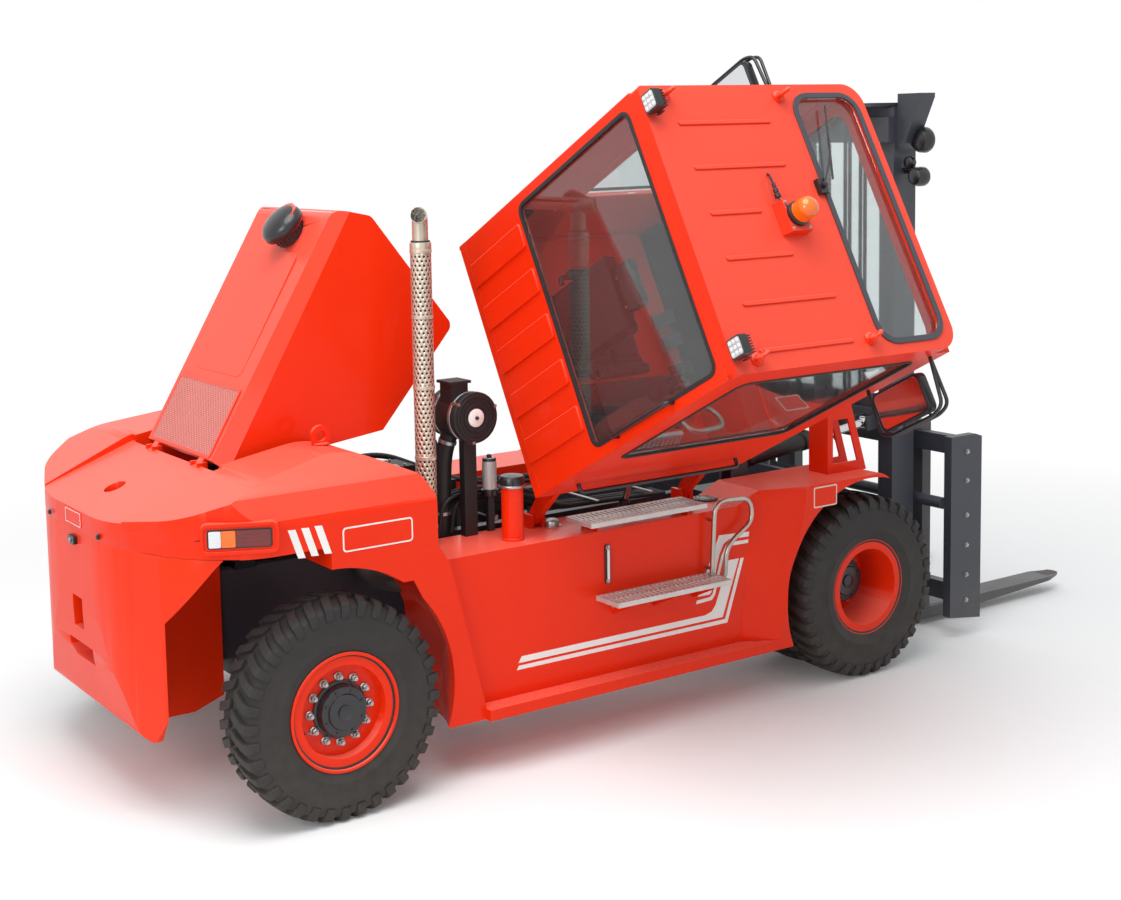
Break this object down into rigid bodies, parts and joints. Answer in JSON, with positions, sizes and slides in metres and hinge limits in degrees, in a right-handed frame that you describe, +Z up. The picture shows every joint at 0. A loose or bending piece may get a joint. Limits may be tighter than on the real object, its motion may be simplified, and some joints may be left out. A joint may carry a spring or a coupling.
{
  "type": "diesel forklift",
  "caption": "Heavy diesel counterbalance forklift with twin drive wheels, two-stage mast, sliding forks, cab tilted sideways and engine cover raised.",
  "frame": {"origin": "ground under the middle of the machine's footprint, cab tilted as stored", "axes": "+X forwards to the forks, +Y to the driver's left, +Z up"},
  "size_m": [7.13, 3.9978, 3.8021],
  "materials": {
    "red_paint": "gloss",
    "grey_paint": "satin",
    "cast_weight": "gloss paint",
    "engine_iron": "satin",
    "tyre": "matte",
    "stainless": "brushed",
    "glass": "clear",
    "black_plastic": "matte",
    "seat_cloth": "woven"
  },
  "bodies": {
    "chassis": {"chassis_frame": "grey_paint", "counterweight": "cast_weight", "rear_cover": "red_paint", "engine": "engine_iron", "exhaust_stack": "stainless", "air_cleaner": "black_plastic", "side_tanks": "red_paint", "steps": "stainless", "front_fenders": "red_paint", "drive_axle": "grey_paint", "steer_axle": "grey_paint"},
    "right_steer_knuckle": {"right_knuckle": "grey_paint"},
    "left_steer_knuckle": {"left_knuckle": "grey_paint"},
    "rear_right_wheel": {"rear_right_tyre": "tyre", "rear_right_rim": "red_paint"},
    "rear_left_wheel": {"rear_left_tyre": "tyre", "rear_left_rim": "red_paint"},
    "front_right_wheel": {"front_right_tyres": "tyre", "front_right_rim": "red_paint"},
    "front_left_wheel": {"front_left_tyres": "tyre", "front_left_rim": "red_paint"},
    "outer_mast": {"mast_outer": "grey_paint"},
    "inner_mast": {"mast_inner": "grey_paint"},
    "fork_carriage": {"carriage": "grey_paint"},
    "right_fork_body": {"right_fork": "grey_paint"},
    "left_fork_body": {"left_fork": "grey_paint"},
    "right_tilt_cylinder": {"right_tilt_barrel": "grey_paint"},
    "right_tilt_piston": {"right_tilt_rod": "stainless"},
    "left_tilt_cylinder": {"left_tilt_barrel": "grey_paint"},
    "left_tilt_piston": {"left_tilt_rod": "stainless"},
    "cab": {"cab_floor": "red_paint", "cab_rear_wall": "red_paint", "cab_right_side": "red_paint", "cab_left_side": "red_paint", "cab_front_wall": "red_paint", "cab_roof": "red_paint", "cab_glass": "glass", "seat": "seat_cloth", "controls": "black_plastic", "mirrors": "black_plastic", "roof_lights": "black_plastic"},
    "cab_door_body": {"cab_door": "red_paint", "door_glass": "glass"},
    "cab_ram_cylinder": {"ram_barrel": "grey_paint"},
    "cab_ram_piston": {"ram_rod": "stainless"},
    "engine_cover": {"hood": "red_paint"}
  },
  "joints": [
    {"name": "right_steer", "type": "hinge", "parent": "chassis", "child": "right_steer_knuckle", "pos_m": [-2.675, -0.104, 0.562], "axis": [0, 0, 1], "range_deg": [-50, 50]},
    {"name": "left_steer", "type": "hinge", "parent": "chassis", "child": "left_steer_knuckle", "pos_m": [-2.675, 1.536, 0.562], "axis": [0, 0, 1], "range_deg": [-50, 50]},
    {"name": "rear_right_roll", "type": "hinge", "parent": "right_steer_knuckle", "child": "rear_right_wheel", "pos_m": [-2.675, -0.414, 0.562], "axis": [0, 1, 0], "continuous": true},
    {"name": "rear_left_roll", "type": "hinge", "parent": "left_steer_knuckle", "child": "rear_left_wheel", "pos_m": [-2.675, 1.846, 0.562], "axis": [0, 1, 0], "continuous": true},
    {"name": "front_right_roll", "type": "hinge", "parent": "chassis", "child": "front_right_wheel", "pos_m": [1.015, -0.186, 0.562], "axis": [0, 1, 0], "continuous": true},
    {"name": "front_left_roll", "type": "hinge", "parent": "chassis", "child": "front_left_wheel", "pos_m": [1.015, 1.618, 0.562], "axis": [0, 1, 0], "continuous": true},
    {"name": "mast_tilt", "type": "hinge", "parent": "chassis", "child": "outer_mast", "pos_m": [1.445, 0.716, 0.43], "axis": [0, 1, 0], "range_deg": [-12, 6]},
    {"name": "mast_lift", "type": "slide", "parent": "outer_mast", "child": "inner_mast", "axis": [0, 0, 1], "range_m": [0, 1.5]},
    {"name": "carriage_lift", "type": "slide", "parent": "inner_mast", "child": "fork_carriage", "axis": [0, 0, 1], "range_m": [0, 1.5]},
    {"name": "right_fork_spread", "type": "slide", "parent": "fork_carriage", "child": "right_fork_body", "axis": [0, -1, 0], "range_m": [-0.4, 0.26]},
    {"name": "left_fork_spread", "type": "slide", "parent": "fork_carriage", "child": "left_fork_body", "axis": [0, 1, 0], "range_m": [-0.4, 0.26]},
    {"name": "cab_tilt", "type": "hinge", "parent": "chassis", "child": "cab", "pos_m": [-0.54, -0.075, 1.232], "axis": [1, 0, 0], "range_deg": [-62.1, 0]},
    {"name": "cab_door_swing", "type": "hinge", "parent": "cab", "child": "cab_door_body", "pos_m": [-0.985, -0.20426, 3.05656], "axis": [0, -0.8838, 0.4679], "range_deg": [0, 85]},
    {"name": "cab_ram_swing", "type": "hinge", "parent": "chassis", "child": "cab_ram_cylinder", "pos_m": [-0.435, 0.281, 0.6], "axis": [1, 0, 0], "range_deg": [-21.08, 0]},
    {"name": "cab_ram_slide", "type": "slide", "parent": "cab_ram_cylinder", "child": "cab_ram_piston", "axis": [0, -0.3589, 0.9334], "range_m": [-0.259, 0]},
    {"name": "hood_swing", "type": "hinge", "parent": "chassis", "child": "engine_cover", "pos_m": [-2.965, 0.716, 1.69], "axis": [0, -1, 0], "range_deg": [-46, 0]},
    {"name": "right_tilt_swing", "type": "hinge", "parent": "chassis", "child": "right_tilt_cylinder", "pos_m": [0.425, 0.056, 1.33], "axis": [0, 1, 0], "range_deg": [-1.92, 0.99]},
    {"name": "right_tilt_slide", "type": "slide", "parent": "right_tilt_cylinder", "child": "right_tilt_piston", "axis": [0.9945, 0, 0.1051], "range_m": [-0.2117, 0.1061]},
    {"name": "left_tilt_swing", "type": "hinge", "parent": "chassis", "child": "left_tilt_cylinder", "pos_m": [0.425, 1.376, 1.33], "axis": [0, 1, 0], "range_deg": [-1.92, 0.99]},
    {"name": "left_tilt_slide", "type": "slide", "parent": "left_tilt_cylinder", "child": "left_tilt_piston", "axis": [0.9945, 0, 0.1051], "range_m": [-0.2117, 0.1061]}
  ],
  "couplings": [
    {"joint": "left_steer", "follows": "right_steer", "ratio": 1},
    {"joint": "carriage_lift", "follows": "mast_lift", "ratio": 1},
    {"joint": "cab_ram_swing", "follows": "cab_tilt", "ratio": 0.33867},
    {"joint": "cab_ram_slide", "follows": "cab_tilt", "m_per_rad": 0.23851},
    {"joint": "right_tilt_swing", "follows": "mast_tilt", "ratio": 0.15614},
    {"joint": "right_tilt_slide", "follows": "mast_tilt", "m_per_rad": 1.0084},
    {"joint": "left_tilt_swing", "follows": "mast_tilt", "ratio": 0.15614},
    {"joint": "left_tilt_slide", "follows": "mast_tilt", "m_per_rad": 1.0084}
  ]
}
